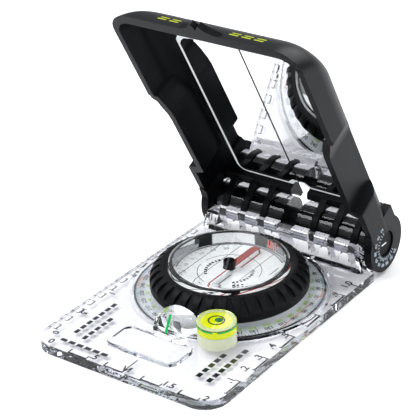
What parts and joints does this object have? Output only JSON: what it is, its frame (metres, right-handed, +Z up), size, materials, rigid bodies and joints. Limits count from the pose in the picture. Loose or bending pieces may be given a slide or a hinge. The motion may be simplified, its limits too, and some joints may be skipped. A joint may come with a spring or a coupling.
{
  "type": "sighting compass",
  "caption": "Clear base plate compass with a turning bezel and liquid capsule, a round level, and a hinged mirror cover for sighting.",
  "frame": {"origin": "dial axis, on the underside of the base plate", "axes": "+X along the cover hinge, +Y from the dial to the hinge, +Z up out of the plate"},
  "size_m": [0.063, 0.1004, 0.0904],
  "materials": {
    "clear_acrylic": "clear moulded acrylic",
    "clear_lens": "polished clear acrylic",
    "pale_translucent": "translucent",
    "lemon_liquid": "clear tinted liquid",
    "black_plastic": "satin",
    "charcoal_plastic": "satin",
    "black_rubber": "matte",
    "steel": "satin",
    "red_paint": "printed red and white",
    "ruby": "polished",
    "mirror_glass": "silvered, bevelled edge",
    "dark_foam": "matte"
  },
  "bodies": {
    "base": {"baseplate": "clear_acrylic", "hinge_shaft": "black_plastic", "clinometer_pointer_disc": "charcoal_plastic", "shaft_end_cap": "charcoal_plastic", "hinge_friction_washer_right": "steel", "hinge_friction_washer_left": "steel", "index_lens": "clear_lens", "level_seat": "pale_translucent", "level_cup": "clear_lens", "level_liquid": "lemon_liquid", "level_lid": "clear_lens"},
    "dial": {"graduated_dial": "clear_acrylic", "dial_friction_ring": "black_rubber", "grip_ring": "black_rubber"},
    "capsule": {"capsule_cup": "clear_acrylic", "orienting_disc": "clear_acrylic", "needle_pivot": "steel", "capsule_seal": "black_rubber", "capsule_lid": "clear_lens"},
    "needle": {"needle_blade": "red_paint", "needle_magnet": "black_plastic", "jewel_bearing": "ruby"},
    "cover": {"cover_shell": "charcoal_plastic", "mirror": "mirror_glass", "mirror_adhesive_pad": "dark_foam"}
  },
  "joints": [
    {"name": "dial_turn", "type": "hinge", "parent": "base", "child": "dial", "pos_m": [0, 0, 0.003], "axis": [0, 0, 1], "continuous": true},
    {"name": "declination_twist", "type": "hinge", "parent": "dial", "child": "capsule", "pos_m": [0, 0, 0.006], "axis": [0, 0, 1], "range_deg": [-40, 40]},
    {"name": "needle_swing", "type": "hinge", "parent": "capsule", "child": "needle", "pos_m": [0, 0, 0.0081], "axis": [0, 0, 1], "continuous": true},
    {"name": "cover_hinge", "type": "hinge", "parent": "base", "child": "cover", "pos_m": [0, 0.0379, 0.009], "axis": [-1, 0, 0], "range_deg": [-61.1, 118.9]}
  ]
}
